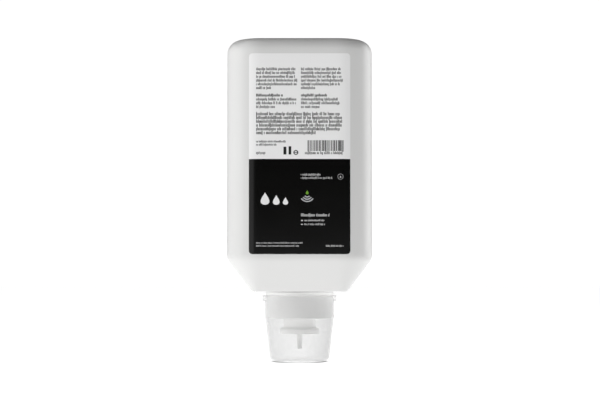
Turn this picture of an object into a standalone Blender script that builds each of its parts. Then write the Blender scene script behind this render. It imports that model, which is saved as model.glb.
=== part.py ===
"""Hand soap refill pack: a filled bottle standing neck down on the protective cap of its dosing pump.

Units are metres and +Z is up. The origin is on the floor, under the middle of the cap.
The pump's pieces are turned on the Z axis. The bottle, its filling and the outlet valve are lofts of rings.
"""

from math import atan2, cos, pi, radians, sin, tan

import bmesh
import bpy
from mathutils import Matrix

# Room kept between two pieces that touch, and how finely round pieces are divided
GAP = 0.0003
BIG_STEPS = 40
SMALL_STEPS = 32

# Bottle body: a rounded box above a shoulder that slopes in to a smaller flat base around the neck
BODY_HALF_W = 0.0515
BODY_HALF_D = 0.036
BODY_CORNER = 0.0255
BODY_TOP = 0.2285
TOP_EDGE = 0.009
PUSH_UP = 0.0012
PUSH_UP_MARGIN = 0.003
WALL = 0.0010
SHOULDER_Z = 0.0737
SHOULDER_BEND = 0.014
BASE_HALF_W = 0.03345
BASE_HALF_D = 0.0265
BASE_CORNER = 0.005
BASE_EDGE = 0.0036
BASE_Z = 0.0504

# Bottle neck, with the bead that the collar snaps over
NECK_R = 0.01975
NECK_BORE_R = 0.017
NECK_END_Z = 0.037
BEAD_R = 0.02115
BEAD_LOW_Z = 0.0404
BEAD_HIGH_Z = 0.0446
BEAD_SLOPE = 0.0012

# Filling of one litre: its level leaves the air space of a bottle that hangs neck down
FILL_Z = 0.2122

# Front label
LABEL_HALF_W = 0.0354
LABEL_LOW_Z = 0.0767
LABEL_HIGH_Z = 0.2166
LABEL_CORNER = 0.0025
LABEL_THICK = 0.0002

# Snap collar
COLLAR_R = 0.02343
COLLAR_LOW_Z = 0.0312
COLLAR_HIGH_Z = BASE_Z - GAP
COLLAR_FLOOR = 0.0018
COLLAR_INNER_R = BEAD_R + GAP
COLLAR_RIM_R = 0.0243
COLLAR_RIM_Z = 0.04765
COLLAR_LIP_R = 0.02035
COLLAR_CHAMFER = 0.0006

# Pump cylinder: flange, wide guide tube, shoulder for the spring, and the narrow bore of the piston
FLANGE_R = 0.0208
FLANGE_LOW_Z = COLLAR_LOW_Z + COLLAR_FLOOR + GAP
FLANGE_HIGH_Z = FLANGE_LOW_Z + 0.0016
GUIDE_R = 0.0133
GUIDE_OUTER_R = 0.0148
SPRING_SEAT_Z = 0.042
SEAT_THICK = 0.0016
BORE_R = 0.0075
BORE_OUTER_R = 0.009
BORE_END_Z = 0.060
CYLINDER_TOP_Z = 0.0615
CYLINDER_EDGE = 0.0006
PORT_COUNT = 6
PORT_R = 0.001
PORT_CIRCLE_R = 0.0042
VALVE_HOLE_R = 0.0012

# Plunger: nozzle, push flange, sleeve with a stop rim, and the stem that carries the piston
SLEEVE_R = 0.01155
SLEEVE_BORE_R = 0.0102
SLEEVE_TOP_Z = 0.0346
STOP_RIM_R = 0.0129
PUSH_R = 0.01405
PUSH_LOW_Z = 0.0201
PUSH_EDGE_Z = 0.02345
PUSH_HIGH_Z = 0.0247
CUP_FLOOR_Z = 0.0219
STEM_R = 0.0036
STEM_TOP_Z = 0.0457
NOZZLE_ROOT_R = 0.00213
NOZZLE_TIP_R = 0.00166
NOZZLE_TIP_Z = 0.0091
NOZZLE_FILLET = 0.0008
PLUNGER_EDGE = 0.0003
CHANNEL_TIP_R = 0.00105
CHANNEL_R = 0.0013
CHANNEL_TOP_Z = 0.036
VALVE_WELL_R = 0.0019
VALVE_LEDGE_R = 0.0024
VALVE_LEDGE_Z = 0.0443

# Piston on the stem's end, with an upper and a lower lip
PISTON_PLAY = 0.00025
PISTON_WAIST_R = 0.0066
PISTON_HUB_R = 0.0052
PISTON_HOLE_R = 0.0016
PISTON_PLATE = 0.0016
LIP_THICK = 0.0005
LIP_EDGE = 0.0008
LIP_UP = 0.0058
LIP_DOWN = 0.0026

# Umbrella valve over the inlet ports
UMBRELLA_R = 0.0057
UMBRELLA_EDGE = 0.0004
UMBRELLA_THICK = 0.0010
BULB_R = 0.0016
BULB_HIGH = 0.0022
BULB_ROOM = 0.0004

# Duckbill valve in the plunger's channel: its tube, then the bill down to its slit's end and its lips' end
BILL_STEPS = 20
BILL_TUBE_Z = 0.0415
BILL_SLIT_Z = 0.0385
BILL_END_Z = 0.0376
BILL_INNER_R = 0.0011
BILL_LIP = 0.0003
BILL_SLIT = 0.00008

# Return spring between the plunger's cup floor and the cylinder's spring seat
WIRE_R = 0.0005
SPRING_R = 0.0084
SPRING_TURNS = 8
CLOSED_PITCH = 0.0012
POINTS_PER_TURN = 14

# Protective cap
CAP_RIM_R = 0.02635
CAP_RIM_LOW_Z = 0.0436
CAP_TOP_Z = COLLAR_RIM_Z - GAP
CAP_UPPER_R = 0.0249
CAP_STEP_Z = 0.0315
CAP_TAPER_TOP_R = 0.0245
CAP_TAPER_LOW_R = 0.0211
CAP_WALL = 0.0010
CAP_CORNER = 0.0043
CAP_RIM_EDGE = 0.0004


def clear_scene():
    """Removes whatever the file starts with."""
    for thing in list(bpy.data.objects):
        bpy.data.objects.remove(thing)


def new_collection(name):
    """A collection linked into the scene."""
    made = bpy.data.collections.new(name)
    bpy.context.scene.collection.children.link(made)
    return made


def plastic(name, colour, roughness, metallic=0.0):
    """A Principled material of one colour."""
    made = bpy.data.materials.new(name)
    made.use_nodes = True
    shader = made.node_tree.nodes["Principled BSDF"]
    shader.inputs["Base Color"].default_value = (*colour, 1.0)
    shader.inputs["Roughness"].default_value = roughness
    shader.inputs["Metallic"].default_value = metallic
    return made


def add_object(name, mesh, parent, material=None):
    """Links a mesh into the pack's collection, carried by the empty of the body that it moves with."""
    made = bpy.data.objects.new(name, mesh)
    pack.objects.link(made)
    made.parent = parent
    made.matrix_parent_inverse = parent.matrix_world.inverted()
    if material:
        mesh.materials.append(material)
    return made


def add_empty(name, height, parent=None):
    """The origin of one rigid body, on the axis that it slides along."""
    made = bpy.data.objects.new(name, None)
    pack.objects.link(made)
    made.location.z = height
    made.parent = parent
    if parent:
        made.matrix_parent_inverse = Matrix.Translation(-parent.location)
    bpy.context.view_layer.update()
    return made


def arc(centre, radius, start, end, pieces):
    """Points on a circle's arc in the radius and height plane, from angle start to angle end in degrees."""
    turn = (end - start) / pieces
    angles = [radians(start + turn * k) for k in range(pieces + 1)]
    return [(centre[0] + radius * cos(a), centre[1] + radius * sin(a)) for a in angles]


def turned(name, profile, parent, material, steps, closed):
    """A profile of (radius, height) points turned about Z. A closed one leaves a hole in the middle."""
    count = len(profile)
    edges = [(k, k + 1) for k in range(count - 1)]
    if closed:
        edges.append((count - 1, 0))
    mesh = bpy.data.meshes.new(name)
    mesh.from_pydata([(radius, 0.0, height) for radius, height in profile], edges, [])
    made = add_object(name, mesh, parent, material)
    screw = made.modifiers.new("turn", "SCREW")
    screw.steps = steps
    screw.render_steps = steps
    screw.use_merge_vertices = True
    screw.merge_threshold = 0.00001
    return made


def rounded_ring(half_w, half_d, corner, height):
    """The outline of a rounded rectangle, with as many points as a big circle has.

    Each quarter has 2 steps on its half side, 5 on its corner and 3 on its half front.
    """
    side = [(half_w, (half_d - corner) * k / 2) for k in range(2)]
    turn = arc((half_w - corner, half_d - corner), corner, 0, 90, 5)
    front = [((half_w - corner) * (1 - k / 3), half_d) for k in range(1, 4)]
    quarter = side + turn + front
    right = quarter[:-1] + [(-x, y) for x, y in reversed(quarter[1:])]
    return [(x, y, height) for x, y in right + [(-x, -y) for x, y in right]]


def round_ring(radius, height):
    """A circle that starts on +X."""
    angles = [2 * pi * k / BIG_STEPS for k in range(BIG_STEPS)]
    return [(radius * cos(a), radius * sin(a), height) for a in angles]


def lofted(name, rings, parent, material):
    """A closed skin over rings of equal point count, whose first and last rings are filled.

    The rings run down the outside of the shape, and up its inside.
    """
    mesh = bpy.data.meshes.new(name)
    shape = bmesh.new()
    rows = [[shape.verts.new(point) for point in ring] for ring in rings]
    for upper, lower in zip(rows, rows[1:]):
        for k in range(len(upper)):
            after = (k + 1) % len(upper)
            shape.faces.new((upper[k], lower[k], lower[after], upper[after]))
    shape.faces.new(rows[0])
    shape.faces.new(reversed(rows[-1]))
    shape.to_mesh(mesh)
    shape.free()
    mesh.shade_smooth()
    mesh.set_sharp_from_angle(angle=radians(30))
    return add_object(name, mesh, parent, material)


def body_rings(inset, upper_rings):
    """The given upper rings, then those of the bottle's shoulder, set in from its outer skin by inset.

    The shoulder is drawn in the width and height plane, as two arcs joined by a straight slope. Depth and
    corner follow the width, from the body's outline to the base's.
    """
    slope = atan2(BODY_HALF_W - BASE_HALF_W, SHOULDER_Z - BASE_Z)
    lean = slope * 180 / pi
    bend_centre = (BODY_HALF_W - SHOULDER_BEND, SHOULDER_Z + SHOULDER_BEND * tan(slope / 2))
    edge_setback = BASE_EDGE * tan((pi / 2 - slope) / 2)
    edge_centre = (BASE_HALF_W - edge_setback, BASE_Z + BASE_EDGE)
    points = arc(bend_centre, SHOULDER_BEND - inset, 0, -lean, 3)
    points += arc(edge_centre, BASE_EDGE - inset, -lean, -90, 3)
    half_w, half_d, corner = BODY_HALF_W - inset, BODY_HALF_D - inset, BODY_CORNER - inset
    rings = list(upper_rings)
    for x, z in points:
        share = (half_w - x) / (BODY_HALF_W - BASE_HALF_W)
        depth = half_d - share * (BODY_HALF_D - BASE_HALF_D)
        rings.append(rounded_ring(x, depth, corner - share * (BODY_CORNER - BASE_CORNER), z))
    return rings


def top_rings(inset, pieces):
    """The rings of the bottle's own base, which is on top here: the shallow push-up, then the edge."""
    centre = (BODY_HALF_W - TOP_EDGE, BODY_TOP - TOP_EDGE)
    points = [
        (centre[0] - 2 * PUSH_UP_MARGIN, BODY_TOP - inset - PUSH_UP),
        (centre[0] - PUSH_UP_MARGIN, BODY_TOP - inset),
    ]
    rings = []
    for x, z in points + arc(centre, TOP_EDGE - inset, 90, 0, pieces):
        cut = BODY_HALF_W - x
        rings.append(rounded_ring(x, BODY_HALF_D - cut, BODY_CORNER - cut, z))
    return rings


def make_bottle(parent):
    """Blow-moulded bottle: one skin that runs down the outside, round the neck's end and up the inside."""
    white = plastic("blow_moulded_hdpe", (0.80, 0.80, 0.79), 0.42)
    outside = body_rings(0.0, top_rings(0.0, 5))
    neck = [
        (NECK_R, BASE_Z),
        (NECK_R, BEAD_HIGH_Z),
        (BEAD_R, BEAD_HIGH_Z - BEAD_SLOPE),
        (BEAD_R, BEAD_LOW_Z + BEAD_SLOPE),
        (NECK_R, BEAD_LOW_Z),
        (NECK_R, NECK_END_Z),
        (NECK_BORE_R, NECK_END_Z),
        (NECK_BORE_R, BASE_Z + WALL),
    ]
    inside = body_rings(WALL, top_rings(WALL, 3))
    rings = outside + [round_ring(radius, height) for radius, height in neck] + inside[::-1]
    return lofted("bottle", rings, parent, white)


def make_soap(parent):
    """The liquid as it lies around the pump: down the wall, into the neck, and up over the cylinder."""
    cream = plastic("liquid_soap", (0.78, 0.74, 0.64), 0.15)
    inset = WALL + GAP
    level = rounded_ring(BODY_HALF_W - inset, BODY_HALF_D - inset, BODY_CORNER - inset, FILL_Z)
    bulb_room_r = BULB_R + BULB_ROOM
    bulb_room_z = CYLINDER_TOP_Z + BULB_HIGH + 2 * GAP
    around_pump = [
        (NECK_BORE_R - GAP, BASE_Z + inset),
        (NECK_BORE_R - GAP, FLANGE_HIGH_Z + GAP),
        (GUIDE_OUTER_R + GAP, FLANGE_HIGH_Z + GAP),
        (GUIDE_OUTER_R + GAP, SPRING_SEAT_Z + SEAT_THICK + GAP),
        (BORE_OUTER_R + GAP, SPRING_SEAT_Z + SEAT_THICK + GAP),
        (BORE_OUTER_R + GAP, CYLINDER_TOP_Z + GAP),
        (bulb_room_r, CYLINDER_TOP_Z + GAP),
        (bulb_room_r, bulb_room_z),
    ]
    rings = body_rings(inset, [level]) + [round_ring(radius, height) for radius, height in around_pump]
    return lofted("liquid_soap", rings, parent, cream)


def make_label(parent):
    """Film label that lies on the front and just begins to turn with the bottle's corners."""
    film = plastic("label_film", (0.30, 0.30, 0.29), 0.35)
    front = BODY_HALF_D + GAP
    flat_half = BODY_HALF_W - BODY_CORNER
    corner_points = [LABEL_HALF_W - LABEL_CORNER * (1 - sin(radians(22.5 * k))) for k in range(5)]
    stations = [0.0, flat_half / 2, flat_half] + corner_points
    stations = [-x for x in reversed(stations[1:])] + stations
    shape = bmesh.new()
    rows = []
    for x in stations:
        past_flat = max(0.0, abs(x) - flat_half)
        bent = past_flat / BODY_CORNER
        across = (min(abs(x), flat_half) + (BODY_CORNER + GAP) * sin(bent)) * (1 if x >= 0 else -1)
        depth = front - (BODY_CORNER + GAP) * (1 - cos(bent))
        past_corner = max(0.0, abs(x) - (LABEL_HALF_W - LABEL_CORNER))
        cut = LABEL_CORNER - (LABEL_CORNER**2 - min(past_corner, LABEL_CORNER) ** 2) ** 0.5
        low = shape.verts.new((across, -depth, LABEL_LOW_Z + cut))
        high = shape.verts.new((across, -depth, LABEL_HIGH_Z - cut))
        rows.append((low, high))
    for (low, high), (next_low, next_high) in zip(rows, rows[1:]):
        shape.faces.new((low, next_low, next_high, high))
    mesh = bpy.data.meshes.new("front_label")
    shape.to_mesh(mesh)
    shape.free()
    made = add_object("front_label", mesh, parent, film)
    thick = made.modifiers.new("thickness", "SOLIDIFY")
    thick.thickness = LABEL_THICK
    thick.offset = 1.0
    return made


def make_collar(parent):
    """Smooth collar, pressed over the neck's bead, that clamps the pump against the neck's end."""
    white = plastic("collar_pp", (0.79, 0.79, 0.78), 0.38)
    lip_low_z = BEAD_HIGH_Z + GAP
    profile = [
        (COLLAR_RIM_R, COLLAR_HIGH_Z),
        (COLLAR_RIM_R, COLLAR_RIM_Z),
        (COLLAR_R, COLLAR_RIM_Z),
        (COLLAR_R, COLLAR_LOW_Z + COLLAR_CHAMFER),
        (COLLAR_R - COLLAR_CHAMFER, COLLAR_LOW_Z),
        (SLEEVE_R + GAP, COLLAR_LOW_Z),
        (SLEEVE_R + GAP, COLLAR_LOW_Z + COLLAR_FLOOR),
        (COLLAR_INNER_R, COLLAR_LOW_Z + COLLAR_FLOOR),
        (COLLAR_INNER_R, lip_low_z),
        (COLLAR_LIP_R, lip_low_z + COLLAR_CHAMFER),
        (COLLAR_LIP_R, lip_low_z + 2 * COLLAR_CHAMFER),
        (COLLAR_INNER_R, lip_low_z + 4 * COLLAR_CHAMFER),
        (COLLAR_INNER_R, COLLAR_HIGH_Z),
    ]
    return turned("snap_collar", profile, parent, white, BIG_STEPS, True)


def make_gasket(parent):
    """Flat soft ring between the pump cylinder's flange and the neck's end."""
    soft = plastic("gasket_foam", (0.62, 0.64, 0.66), 0.80)
    low_z = FLANGE_HIGH_Z + GAP
    high_z = NECK_END_Z - GAP
    outer = FLANGE_R - GAP
    inner = NECK_BORE_R + GAP
    profile = [(outer, high_z), (outer, low_z), (inner, low_z), (inner, high_z)]
    return turned("neck_gasket", profile, parent, soft, BIG_STEPS, True)


def make_cylinder(parent):
    """Fixed housing of the pump, with a ring of inlet ports through its end wall."""
    milky = plastic("cylinder_pp", (0.72, 0.74, 0.75), 0.35)
    profile = [
        (VALVE_HOLE_R, CYLINDER_TOP_Z),
        (BORE_OUTER_R - CYLINDER_EDGE, CYLINDER_TOP_Z),
        (BORE_OUTER_R, CYLINDER_TOP_Z - CYLINDER_EDGE),
        (BORE_OUTER_R, SPRING_SEAT_Z + SEAT_THICK),
        (GUIDE_OUTER_R, SPRING_SEAT_Z + SEAT_THICK),
        (GUIDE_OUTER_R, FLANGE_HIGH_Z),
        (FLANGE_R, FLANGE_HIGH_Z),
        (FLANGE_R, FLANGE_LOW_Z),
        (GUIDE_R, FLANGE_LOW_Z),
        (GUIDE_R, SPRING_SEAT_Z),
        (BORE_R + CYLINDER_EDGE, SPRING_SEAT_Z),
        (BORE_R, SPRING_SEAT_Z + CYLINDER_EDGE),
        (BORE_R, BORE_END_Z),
        (VALVE_HOLE_R, BORE_END_Z),
    ]
    made = turned("pump_cylinder", profile, parent, milky, SMALL_STEPS, True)
    ports = bmesh.new()
    middle_z = (BORE_END_Z + CYLINDER_TOP_Z) / 2
    for k in range(PORT_COUNT):
        angle = 2 * pi * (k + 0.5) / PORT_COUNT
        place = (PORT_CIRCLE_R * cos(angle), PORT_CIRCLE_R * sin(angle), middle_z)
        bmesh.ops.create_cone(
            ports,
            cap_ends=True,
            segments=12,
            radius1=PORT_R,
            radius2=PORT_R,
            depth=2 * (CYLINDER_TOP_Z - BORE_END_Z),
            matrix=Matrix.Translation(place),
        )
    mesh = bpy.data.meshes.new("inlet_ports")
    ports.to_mesh(mesh)
    ports.free()
    cutter = bpy.data.objects.new("inlet_ports", mesh)
    cutters.objects.link(cutter)
    cutter.hide_render = True
    cutter.display_type = "WIRE"
    cut = made.modifiers.new("ports", "BOOLEAN")
    cut.operation = "DIFFERENCE"
    cut.object = cutter
    return made


def make_inlet_valve(parent):
    """Soft umbrella valve: a disc under the inlet ports, held by a bulb pulled through the middle hole."""
    silicone = plastic("inlet_silicone", (0.80, 0.72, 0.60), 0.55)
    stem = VALVE_HOLE_R - GAP
    bulb_low_z = CYLINDER_TOP_Z + GAP
    bulb_high_z = bulb_low_z + BULB_HIGH
    disc_z = BORE_END_Z - GAP
    profile = [
        (0.0, bulb_high_z),
        (stem, bulb_high_z - UMBRELLA_EDGE),
        (BULB_R, bulb_low_z + UMBRELLA_EDGE),
        (BULB_R, bulb_low_z),
        (stem, bulb_low_z),
        (stem, disc_z),
        (UMBRELLA_R - UMBRELLA_EDGE, disc_z),
        (UMBRELLA_R, disc_z - UMBRELLA_EDGE),
        (UMBRELLA_R / 3, disc_z - 2 * UMBRELLA_EDGE),
        (0.0, disc_z - UMBRELLA_THICK),
    ]
    return turned("inlet_valve", profile, parent, silicone, SMALL_STEPS, False)


def make_plunger(parent):
    """The part that the dispenser pushes up: nozzle, push flange, sleeve and stem in one moulding."""
    white = plastic("plunger_pp", (0.79, 0.79, 0.78), 0.38)
    profile = [
        (STEM_R, STEM_TOP_Z),
        (STEM_R, CUP_FLOOR_Z),
        (SLEEVE_BORE_R, CUP_FLOOR_Z),
        (SLEEVE_BORE_R, SLEEVE_TOP_Z),
        (STOP_RIM_R, SLEEVE_TOP_Z),
        (STOP_RIM_R, FLANGE_LOW_Z),
        (SLEEVE_R, FLANGE_LOW_Z),
        (SLEEVE_R, PUSH_HIGH_Z),
        (PUSH_R, PUSH_EDGE_Z),
        (PUSH_R, PUSH_LOW_Z + PLUNGER_EDGE),
        (PUSH_R - PLUNGER_EDGE, PUSH_LOW_Z),
        (NOZZLE_ROOT_R + NOZZLE_FILLET, PUSH_LOW_Z),
        (NOZZLE_ROOT_R, PUSH_LOW_Z - NOZZLE_FILLET),
        (NOZZLE_TIP_R, NOZZLE_TIP_Z + PLUNGER_EDGE),
        (NOZZLE_TIP_R - PLUNGER_EDGE, NOZZLE_TIP_Z),
        (CHANNEL_TIP_R, NOZZLE_TIP_Z),
        (CHANNEL_R, CHANNEL_TOP_Z),
        (VALVE_WELL_R, CHANNEL_TOP_Z),
        (VALVE_WELL_R, VALVE_LEDGE_Z),
        (VALVE_LEDGE_R, VALVE_LEDGE_Z),
        (VALVE_LEDGE_R, STEM_TOP_Z),
    ]
    return turned("pump_plunger", profile, parent, white, SMALL_STEPS, True)


def make_piston(parent):
    """Two-lipped piston that sits on the stem's end and keeps the outlet valve in its well."""
    natural = plastic("piston_ldpe", (0.78, 0.80, 0.80), 0.45)
    lip = BORE_R - PISTON_PLAY
    plate_z = STEM_TOP_Z + GAP
    plate_top_z = plate_z + PISTON_PLATE
    high_z = plate_z + LIP_UP
    low_z = plate_z - LIP_DOWN
    profile = [
        (lip, high_z),
        (lip, high_z - LIP_EDGE),
        (PISTON_WAIST_R, plate_top_z + LIP_EDGE),
        (PISTON_WAIST_R, plate_z + LIP_EDGE),
        (lip, low_z + LIP_EDGE),
        (lip, low_z),
        (lip - LIP_THICK, low_z),
        (PISTON_WAIST_R - LIP_THICK, plate_z - LIP_EDGE / 2),
        (PISTON_HUB_R, plate_z),
        (PISTON_HUB_R, low_z),
        (STEM_R + GAP, low_z),
        (STEM_R + GAP, plate_z),
        (PISTON_HOLE_R, plate_z),
        (PISTON_HOLE_R, plate_top_z),
        (PISTON_HUB_R, plate_top_z),
        (PISTON_WAIST_R - LIP_THICK, plate_top_z + LIP_EDGE),
        (lip - LIP_THICK, high_z),
    ]
    return turned("plunger_piston", profile, parent, natural, SMALL_STEPS, True)


def slot_ring(half_length, half_width, height):
    """A flattened ring: a circle squeezed to the given half length and half width."""
    angles = [2 * pi * k / BILL_STEPS for k in range(BILL_STEPS)]
    return [(half_length * cos(a), half_width * sin(a), height) for a in angles]


def make_outlet_valve(parent):
    """Duckbill valve: a flanged sleeve whose round section flattens into two lips, open at the top only."""
    silicone = plastic("outlet_silicone", (0.80, 0.72, 0.60), 0.55)
    flange = VALVE_LEDGE_R - GAP
    tube = VALVE_WELL_R - GAP
    flange_z = VALVE_LEDGE_Z + GAP
    half_way = (tube + BILL_LIP) / 2
    half_way_in = BILL_INNER_R / 2
    outside = [
        slot_ring(flange, flange, STEM_TOP_Z),
        slot_ring(flange, flange, flange_z),
        slot_ring(tube, tube, flange_z),
        slot_ring(tube, tube, BILL_TUBE_Z),
        slot_ring(tube, half_way, (BILL_TUBE_Z + BILL_END_Z) / 2),
        slot_ring(tube, BILL_LIP, BILL_END_Z),
    ]
    inside = [
        slot_ring(BILL_INNER_R, BILL_SLIT, BILL_SLIT_Z),
        slot_ring(BILL_INNER_R, half_way_in, (BILL_TUBE_Z + BILL_SLIT_Z) / 2),
        slot_ring(BILL_INNER_R, BILL_INNER_R, BILL_TUBE_Z),
        slot_ring(BILL_INNER_R, BILL_INNER_R, STEM_TOP_Z),
    ]
    return lofted("outlet_valve", inside + outside, parent, silicone)


def make_spring(parent):
    """Steel compression spring around the stem, from the plunger's cup floor to the cylinder's seat.

    Its first and last turns are closed, almost wire on wire, and the turns between share the rest.
    """
    steel = plastic("spring_steel", (0.60, 0.60, 0.60), 0.25, 1.0)
    low_z = CUP_FLOOR_Z + GAP + WIRE_R
    high_z = SPRING_SEAT_Z - GAP - WIRE_R
    count = SPRING_TURNS * POINTS_PER_TURN
    open_pitch = (high_z - low_z - 2 * CLOSED_PITCH) / (SPRING_TURNS - 2)
    curve = bpy.data.curves.new("return_spring", "CURVE")
    curve.dimensions = "3D"
    curve.bevel_depth = WIRE_R
    curve.bevel_resolution = 2
    curve.use_fill_caps = True
    line = curve.splines.new("POLY")
    line.points.add(count)
    for k in range(count + 1):
        turn = k / POINTS_PER_TURN
        angle = 2 * pi * turn
        closed_turns = min(turn, 1) + max(turn - SPRING_TURNS + 1, 0)
        height = low_z + closed_turns * CLOSED_PITCH + (turn - closed_turns) * open_pitch
        line.points[k].co = (SPRING_R * cos(angle), SPRING_R * sin(angle), height, 1.0)
    return add_object("return_spring", curve, parent, steel)


def make_cap(parent):
    """Clear tapered cup with a rim to pull it by, which guards the pump and which the pack stands on."""
    clear = plastic("cap_clear_pp", (0.86, 0.87, 0.87), 0.20)
    clear.node_tree.nodes["Principled BSDF"].inputs["Alpha"].default_value = 0.4
    step = CAP_UPPER_R - CAP_TAPER_TOP_R
    taper = atan2(CAP_TAPER_TOP_R - CAP_TAPER_LOW_R, CAP_STEP_Z - step)
    lean = taper * 180 / pi
    corner_centre = (CAP_TAPER_LOW_R + CAP_CORNER * (tan(taper) - 1 / cos(taper)), CAP_CORNER)
    inside = [(0.0, CAP_WALL)]
    inside += arc(corner_centre, CAP_CORNER - CAP_WALL, -90, -lean, 4)
    inside += [
        (CAP_TAPER_TOP_R - CAP_WALL, CAP_STEP_Z - step),
        (CAP_UPPER_R - CAP_WALL, CAP_STEP_Z),
        (CAP_UPPER_R - CAP_WALL, CAP_TOP_Z),
    ]
    outside = [
        (CAP_RIM_R - CAP_RIM_EDGE, CAP_TOP_Z),
        (CAP_RIM_R, CAP_TOP_Z - CAP_RIM_EDGE),
        (CAP_RIM_R, CAP_RIM_LOW_Z),
        (CAP_UPPER_R, CAP_RIM_LOW_Z),
        (CAP_UPPER_R, CAP_STEP_Z),
        (CAP_TAPER_TOP_R, CAP_STEP_Z - step),
    ]
    outside += arc(corner_centre, CAP_CORNER, -lean, -90, 5)
    outside.append((0.0, 0.0))
    return turned("protective_cap", inside + outside, parent, clear, BIG_STEPS, False)


clear_scene()
pack = new_collection("hand_soap_refill_pack")
cutters = new_collection("cutters")

cap_body = add_empty("cap_body", 0.0)
bottle_body = add_empty("bottle_body", COLLAR_LOW_Z, cap_body)
plunger_body = add_empty("plunger_body", PUSH_LOW_Z, bottle_body)

make_cap(cap_body)
make_bottle(bottle_body)
make_soap(bottle_body)
make_label(bottle_body)
make_collar(bottle_body)
make_gasket(bottle_body)
make_cylinder(bottle_body)
make_inlet_valve(bottle_body)
make_spring(bottle_body)
make_plunger(plunger_body)
make_piston(plunger_body)
make_outlet_valve(plunger_body)
bpy.context.view_layer.update()
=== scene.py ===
# %% [markdown]
# # A hand soap refill pack
# The pack is a blow-moulded bottle that stands neck down on the clear cap of its dosing pump.
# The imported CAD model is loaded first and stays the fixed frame: every piece made below takes its place
# and its size from a CAD node, rides on that node's body, and stands in for it with a finer surface.

import bpy
import numpy as np
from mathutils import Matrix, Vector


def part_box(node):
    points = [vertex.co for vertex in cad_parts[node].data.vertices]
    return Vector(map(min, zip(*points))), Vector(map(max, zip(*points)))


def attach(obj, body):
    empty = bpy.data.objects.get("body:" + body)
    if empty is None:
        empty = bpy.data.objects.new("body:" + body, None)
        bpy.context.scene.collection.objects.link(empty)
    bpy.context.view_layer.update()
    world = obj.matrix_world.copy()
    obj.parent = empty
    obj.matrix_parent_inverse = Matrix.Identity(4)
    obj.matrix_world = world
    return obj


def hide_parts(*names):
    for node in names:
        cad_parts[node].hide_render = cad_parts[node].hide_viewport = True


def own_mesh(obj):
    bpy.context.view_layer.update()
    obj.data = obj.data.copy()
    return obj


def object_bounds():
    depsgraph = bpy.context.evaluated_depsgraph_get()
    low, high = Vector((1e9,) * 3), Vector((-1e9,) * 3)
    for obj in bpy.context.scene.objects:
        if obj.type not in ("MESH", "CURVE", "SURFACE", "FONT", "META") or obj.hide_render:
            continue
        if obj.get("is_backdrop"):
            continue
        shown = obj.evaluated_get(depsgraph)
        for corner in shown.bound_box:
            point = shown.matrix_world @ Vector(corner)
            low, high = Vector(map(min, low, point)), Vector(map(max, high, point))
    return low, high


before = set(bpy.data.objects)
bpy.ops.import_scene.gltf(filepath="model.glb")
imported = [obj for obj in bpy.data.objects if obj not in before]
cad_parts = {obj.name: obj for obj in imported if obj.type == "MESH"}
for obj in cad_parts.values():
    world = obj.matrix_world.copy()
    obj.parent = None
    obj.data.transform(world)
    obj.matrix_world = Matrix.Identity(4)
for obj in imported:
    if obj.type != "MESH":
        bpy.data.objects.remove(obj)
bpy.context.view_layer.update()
MM = 0.001

# %% [markdown]
# ## Surfaces from arrays
# A moulded or turned piece is a surface: a point for each pair of numbers, one that runs down the shape and
# one that runs around it. Numpy works out all the points at once as a grid, rows down and columns around,
# and the faces are the grid's cells. The last column joins the first, so no seam is left open.

# %% A mesh from a grid of points
def surface(name, grid, closed_rows=False, fill_last=True):
    """A mesh whose vertices are the grid's points and whose faces are its cells.

    Columns always join up around. Rows join up as well for a ring, or else the first row is filled and,
    unless it stays open, the last.
    """
    rows, columns = grid.shape[:2]
    number = np.arange(rows * columns).reshape(rows, columns)
    below = np.roll(number, -1, axis=0) if closed_rows else number[1:]
    above = number if closed_rows else number[:-1]
    cells = np.stack([above, below, np.roll(below, -1, 1), np.roll(above, -1, 1)], axis=-1)
    faces = cells.reshape(-1, 4).tolist()
    if not closed_rows:
        faces += [number[0].tolist()] + ([number[-1][::-1].tolist()] if fill_last else [])
    mesh = bpy.data.meshes.new(name)
    mesh.from_pydata(grid.reshape(-1, 3).tolist(), [], faces)
    mesh.shade_smooth()
    made = bpy.data.objects.new(name, mesh)
    bpy.context.scene.collection.objects.link(made)
    return made


# %% A profile with its corners eased, and the surface it draws when it is turned
def eased(corners, reach, pieces=5, closed=True):
    """A polygon whose corners are rounded off.

    Each corner becomes a parabola that starts a reach before the corner, is drawn towards it, and ends a
    reach after it: (1-s)^2 start + 2s(1-s) corner + s^2 end. Points that fall together are dropped.
    """
    corners = np.array(corners, float)
    reach = np.full(len(corners), reach, float)
    if not closed:
        reach[[0, -1]] = 0.0
    before = np.roll(corners, 1, 0) - corners
    after = np.roll(corners, -1, 0) - corners
    side_before = np.linalg.norm(before, axis=1)
    side_after = np.linalg.norm(after, axis=1)
    reach = np.minimum(reach, 0.45 * np.minimum(side_before, side_after))[:, None]
    start = (corners + before / side_before[:, None] * reach)[:, None]
    end = (corners + after / side_after[:, None] * reach)[:, None]
    s = np.linspace(0, 1, pieces + 1)[None, :, None]
    path = (1 - s) ** 2 * start + 2 * s * (1 - s) * corners[:, None] + s**2 * end
    path = path.reshape(-1, 2)
    apart = np.linalg.norm(path - np.roll(path, 1, 0), axis=1) > 1e-7
    return path[apart]


def turned(name, profile, steps=128, closed=True):
    """A profile of (radius, height) points turned about Z: (r cos a, r sin a, z) for each angle a."""
    angle = np.linspace(0, 2 * np.pi, steps, endpoint=False)
    radius, height = profile[:, :1], profile[:, 1:]
    level = height + np.zeros(steps)
    grid = np.stack([radius * np.cos(angle), radius * np.sin(angle), level], axis=-1)
    return surface(name, grid, closed_rows=closed)


# %% [markdown]
# ## Materials from nodes
# Every finish is a Principled shader with a few nodes in front of it. One function adds a node, sets its
# sockets and links it. Patterns read Object coordinates, which here are metres in the pack's own frame,
# so a texture scale is one over a real size.

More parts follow.
